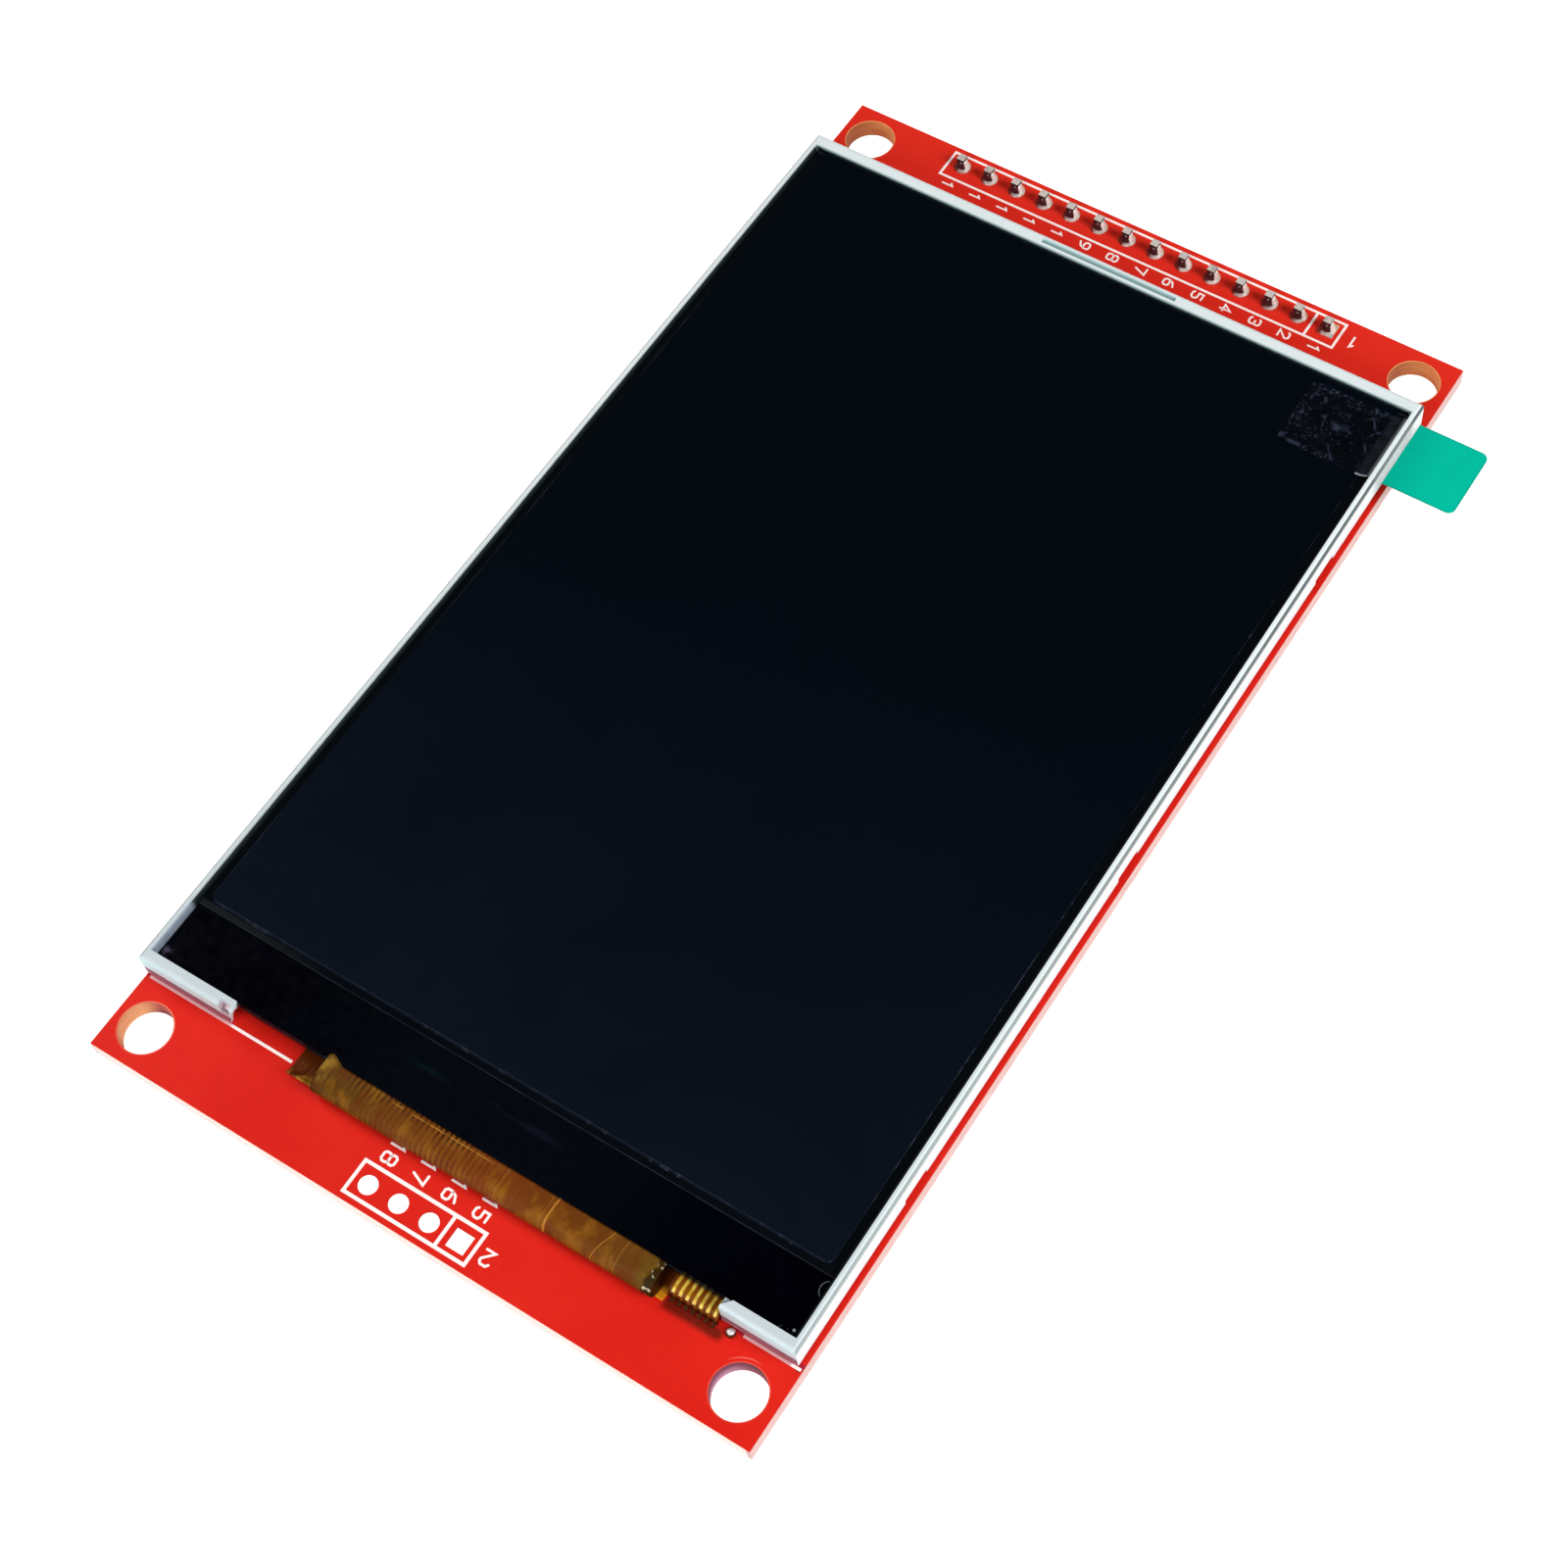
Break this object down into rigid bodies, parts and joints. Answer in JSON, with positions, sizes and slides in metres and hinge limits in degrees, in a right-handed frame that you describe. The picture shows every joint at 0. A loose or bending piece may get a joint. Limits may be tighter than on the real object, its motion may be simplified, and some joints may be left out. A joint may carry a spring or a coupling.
{
  "type": "tft display module",
  "caption": "Colour display module: glass panel in a bent metal bezel, taped to a red circuit board with corner mounting holes, a pin header and a card socket behind.",
  "frame": {"origin": "centre of the four mounting holes, in the circuit board's front face", "axes": "+Z out of the display, along the mounting holes; +Y along the board to the end with the long pin header; +X to that header's pin 1 side"},
  "size_m": [0.0605, 0.098, 0.0131],
  "materials": {
    "solder_mask": "glossy red solder mask over glass-epoxy board",
    "tinned_copper": "bright tinned pads",
    "solder": "bright solder",
    "gold_plate": "gold plated contacts",
    "header_plastic": "black moulded nylon",
    "bezel_steel": "matt zinc-plated steel sheet",
    "frame_white": "white moulded polycarbonate",
    "reflector_film": "white mirror film",
    "guide_acrylic": "clear acrylic",
    "optical_film": "frosted optical film",
    "black_tape": "black adhesive tape",
    "lamp_phosphor": "yellow phosphor in a white case",
    "polariser_rear": "dark polarising film",
    "panel_glass": "dark display glass",
    "polariser_front": "nearly black glossy film",
    "clear_film": "clear peel-off film over black",
    "tab_green": "blue-green plastic tab",
    "chip_silicon": "bare silicon",
    "cover_black": "glossy black adhesive cover",
    "polyimide": "amber polyimide over copper tracks",
    "foam": "pale double-sided foam tape",
    "socket_plastic": "black moulded plastic",
    "socket_steel": "nickel-plated steel",
    "package_black": "black moulded package with tinned leads",
    "resistor_body": "black glazed chip with tinned ends",
    "capacitor_body": "tan ceramic chip with tinned ends"
  },
  "bodies": {
    "root": {"pcb": "solder_mask", "header_pads": "tinned_copper", "header_solder": "solder", "header_pins": "gold_plate", "header_housing": "header_plastic", "card_header_pads": "tinned_copper", "lcd_bezel": "bezel_steel", "backlight_frame": "frame_white", "reflector_sheet": "reflector_film", "light_guide": "guide_acrylic", "diffuser_sheet": "optical_film", "lower_prism_sheet": "optical_film", "upper_prism_sheet": "optical_film", "rim_tape": "black_tape", "backlight_leds": "lamp_phosphor", "rear_polariser": "polariser_rear", "tft_glass": "panel_glass", "colour_filter_glass": "panel_glass", "front_polariser": "polariser_front", "protective_film": "clear_film", "pull_tab": "tab_green", "driver_chip": "chip_silicon", "ledge_cover": "cover_black", "main_flex": "polyimide", "tail_solder": "solder", "backlight_flex": "polyimide", "backlight_contacts": "gold_plate", "flex_solder": "solder", "foam_tape": "foam", "card_socket_base": "socket_plastic", "card_socket_shell": "socket_steel", "card_socket_contacts": "gold_plate", "voltage_regulator": "package_black", "backlight_transistor": "package_black", "resistors": "resistor_body", "capacitors": "capacitor_body"}
  },
  "joints": []
}
